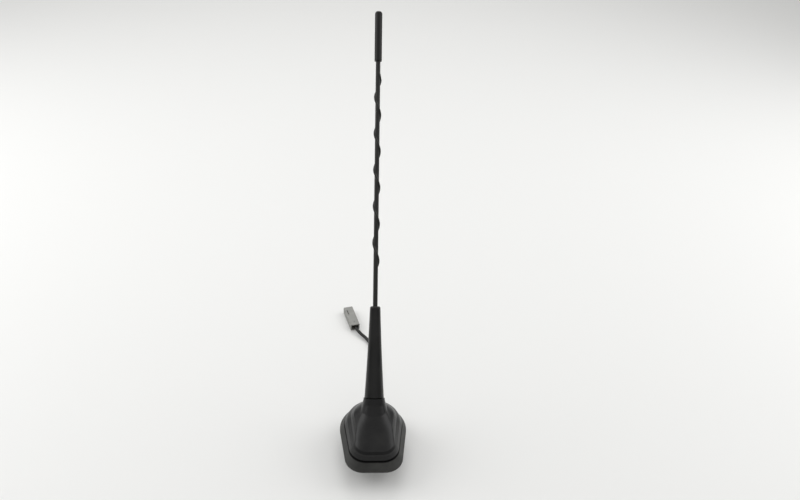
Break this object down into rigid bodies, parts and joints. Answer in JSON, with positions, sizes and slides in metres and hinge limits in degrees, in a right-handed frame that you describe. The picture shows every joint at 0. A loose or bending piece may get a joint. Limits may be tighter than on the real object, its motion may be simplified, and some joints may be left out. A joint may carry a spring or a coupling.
{
  "type": "roof antenna",
  "caption": "Car roof antenna: moulded base on a rubber pad, a leaning screw-in mast with a spiral bead, and a short lead with a grey plug under the roof.",
  "frame": {"origin": "on the axis of the roof stud, in the plane of the pad's underside that lies on the roof", "axes": "+Z away from the roof, +Y to the car's rear, where the mast leans to, +X to the car's left side"},
  "size_m": [0.063, 0.285, 0.3437],
  "materials": {
    "pad_rubber": "matte black moulded rubber",
    "cover_plastic": "fine-grained satin black",
    "plate_casting": "as-cast grey",
    "stud_steel": "zinc plated",
    "clip_steel": "bare spring steel",
    "gland_rubber": "matte black",
    "screw_steel": "zinc plated",
    "board_laminate": "green solder mask",
    "can_tinplate": "tin plated",
    "component_plastic": "black epoxy",
    "contact_brass": "bright",
    "mast_seal_rubber": "matte black",
    "boot_rubber": "smooth satin black",
    "ferrule_steel": "nickel plated",
    "core_fibre": "pale glass-fibre rod",
    "sleeve_plastic": "satin black",
    "tip_plastic": "satin black",
    "lead_jacket": "black cable jacket",
    "plug_plastic": "grey moulded",
    "plug_lock_plastic": "dark grey moulded"
  },
  "bodies": {
    "base": {"base_pad": "pad_rubber", "base_plate": "plate_casting", "roof_stud": "stud_steel", "retaining_clip": "clip_steel", "cable_gland": "gland_rubber", "cover_screws": "screw_steel", "amplifier_board": "board_laminate", "board_screws": "screw_steel", "shield_can": "can_tinplate", "board_components": "component_plastic", "contact_blade": "contact_brass", "cable_inner_end": "lead_jacket", "base_cover": "cover_plastic", "mast_socket": "contact_brass", "cable": "lead_jacket", "plug_housing": "plug_plastic", "plug_contact": "contact_brass", "plug_ferrule": "ferrule_steel", "plug_retainer": "plug_lock_plastic"},
    "seal": {"mast_seal": "mast_seal_rubber"},
    "mast": {"mast_boot": "boot_rubber", "mast_ferrule": "ferrule_steel", "mast_core": "core_fibre", "mast_sleeve": "sleeve_plastic", "tip_cap": "tip_plastic"}
  },
  "joints": [
    {"name": "mast_lift", "type": "slide", "parent": "base", "child": "seal", "axis": [0, 0.6157, 0.788], "range_m": [0, 0.008]},
    {"name": "mast_turn", "type": "hinge", "parent": "seal", "child": "mast", "pos_m": [0, 0.0157, 0.036], "axis": [0, 0.6157, 0.788], "range_deg": [0, 3600]}
  ],
  "couplings": [
    {"joint": "mast_turn", "follows": "mast_lift", "rad_per_m": 7854}
  ]
}
